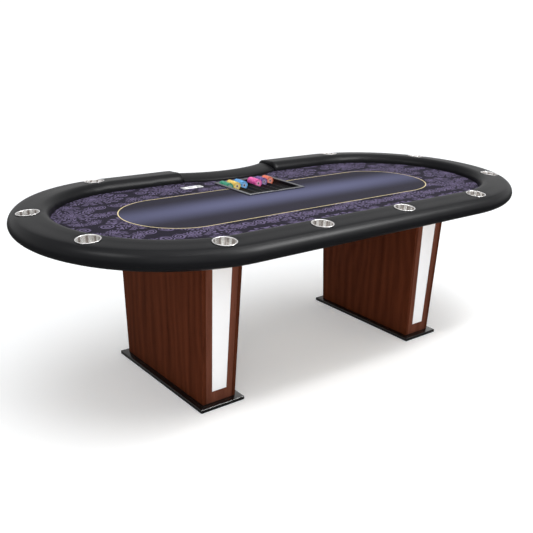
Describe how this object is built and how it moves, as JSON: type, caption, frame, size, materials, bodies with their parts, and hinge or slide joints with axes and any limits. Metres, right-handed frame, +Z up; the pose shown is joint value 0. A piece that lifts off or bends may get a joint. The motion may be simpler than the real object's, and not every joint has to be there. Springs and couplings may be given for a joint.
{
  "type": "poker table",
  "caption": "Oval poker table on twin tapered pedestals, with a padded rail, drop-in cup holders, a dealer cut-out with a sunken chip tray, and a drop slot with a box below.",
  "frame": {"origin": "on the floor, under the middle of the table", "axes": "+X along the table's length, +Y towards the dealer's cut-out, +Z up"},
  "size_m": [2.44, 1.22, 0.7619],
  "materials": {
    "vinyl": "black padded vinyl with a fine grain and a soft sheen",
    "cloth": "printed playing cloth, dark violet scrollwork round a slate blue centre with a thin gold line",
    "foam": "thin grey foam sheet",
    "plywood": "unfinished plywood",
    "veneer": "dark walnut veneer, satin lacquer, grain upright",
    "insert": "light silver panel, satin",
    "base_plate": "black high gloss board",
    "bolt_steel": "zinc plated steel",
    "cup_steel": "brushed stainless steel",
    "tray_plastic": "moulded black plastic",
    "tray_frame": "satin anodised",
    "slot_plate": "bright satin",
    "sheet_metal": "black powder coat",
    "chips_green": "green gaming chips, matt, with lighter edge marks",
    "chips_yellow": "yellow gaming chips, matt, with lighter edge marks",
    "chips_blue": "blue gaming chips, matt, with lighter edge marks",
    "chips_pink": "pink gaming chips, matt, with lighter edge marks",
    "chips_purple": "purple gaming chips, matt, with lighter edge marks",
    "chips_orange": "orange gaming chips, matt, with lighter edge marks"
  },
  "bodies": {
    "table": {"table_deck": "plywood", "play_board": "plywood", "foam_underlay": "foam", "playing_cloth": "cloth", "rail_board": "plywood", "rail_pad": "vinyl", "dealer_rest_board": "plywood", "dealer_rest_pad": "vinyl", "drop_slot_plate": "slot_plate", "drop_slot_chute": "tray_plastic", "drop_box_runner_left": "sheet_metal", "drop_box_runner_right": "sheet_metal", "stringer_front": "plywood", "stringer_back": "plywood", "left_base_plate": "base_plate", "left_top_plate": "plywood", "left_outer_panel": "veneer", "left_inner_panel": "veneer", "left_front_panel": "veneer", "left_back_panel": "veneer", "left_front_insert": "insert", "left_back_insert": "insert", "left_bolt_1": "bolt_steel", "left_bolt_2": "bolt_steel", "left_bolt_3": "bolt_steel", "left_bolt_4": "bolt_steel", "right_base_plate": "base_plate", "right_top_plate": "plywood", "right_outer_panel": "veneer", "right_inner_panel": "veneer", "right_front_panel": "veneer", "right_back_panel": "veneer", "right_front_insert": "insert", "right_back_insert": "insert", "right_bolt_1": "bolt_steel", "right_bolt_2": "bolt_steel", "right_bolt_3": "bolt_steel", "right_bolt_4": "bolt_steel"},
    "cup_1": {"cup_holder_1": "cup_steel"},
    "cup_2": {"cup_holder_2": "cup_steel"},
    "cup_3": {"cup_holder_3": "cup_steel"},
    "cup_4": {"cup_holder_4": "cup_steel"},
    "cup_5": {"cup_holder_5": "cup_steel"},
    "cup_6": {"cup_holder_6": "cup_steel"},
    "cup_7": {"cup_holder_7": "cup_steel"},
    "cup_8": {"cup_holder_8": "cup_steel"},
    "cup_9": {"cup_holder_9": "cup_steel"},
    "cup_10": {"cup_holder_10": "cup_steel"},
    "chip_tray_unit": {"chip_tray": "tray_plastic", "chip_tray_frame": "tray_frame", "chips_green": "chips_green", "chips_yellow": "chips_yellow", "chips_blue": "chips_blue", "chips_pink": "chips_pink", "chips_purple": "chips_purple", "chips_orange": "chips_orange"},
    "drop_box_unit": {"drop_box": "sheet_metal"}
  },
  "joints": [
    {"name": "cup_1_lift", "type": "slide", "parent": "table", "child": "cup_1", "axis": [-0.0109, 0.0777, 0.9969], "range_m": [0, 0.08]},
    {"name": "cup_2_lift", "type": "slide", "parent": "table", "child": "cup_2", "axis": [-0.0746, 0.0242, 0.9969], "range_m": [0, 0.08]},
    {"name": "cup_3_lift", "type": "slide", "parent": "table", "child": "cup_3", "axis": [-0.0686, -0.038, 0.9969], "range_m": [0, 0.08]},
    {"name": "cup_4_lift", "type": "slide", "parent": "table", "child": "cup_4", "axis": [-0.015, -0.077, 0.9969], "range_m": [0, 0.08]},
    {"name": "cup_5_lift", "type": "slide", "parent": "table", "child": "cup_5", "axis": [0, -0.0785, 0.9969], "range_m": [0, 0.08]},
    {"name": "cup_6_lift", "type": "slide", "parent": "table", "child": "cup_6", "axis": [0, -0.0785, 0.9969], "range_m": [0, 0.08]},
    {"name": "cup_7_lift", "type": "slide", "parent": "table", "child": "cup_7", "axis": [0.0027, -0.0784, 0.9969], "range_m": [0, 0.08]},
    {"name": "cup_8_lift", "type": "slide", "parent": "table", "child": "cup_8", "axis": [0.0665, -0.0416, 0.9969], "range_m": [0, 0.08]},
    {"name": "cup_9_lift", "type": "slide", "parent": "table", "child": "cup_9", "axis": [0.0705, 0.0344, 0.9969], "range_m": [0, 0.08]},
    {"name": "cup_10_lift", "type": "slide", "parent": "table", "child": "cup_10", "axis": [0.0136, 0.0773, 0.9969], "range_m": [0, 0.08]},
    {"name": "chip_tray_lift", "type": "slide", "parent": "table", "child": "chip_tray_unit", "axis": [0, 0, 1], "range_m": [0, 0.08]},
    {"name": "drop_box_slide", "type": "slide", "parent": "table", "child": "drop_box_unit", "axis": [0, 1, 0], "range_m": [0, 0.2]}
  ]
}
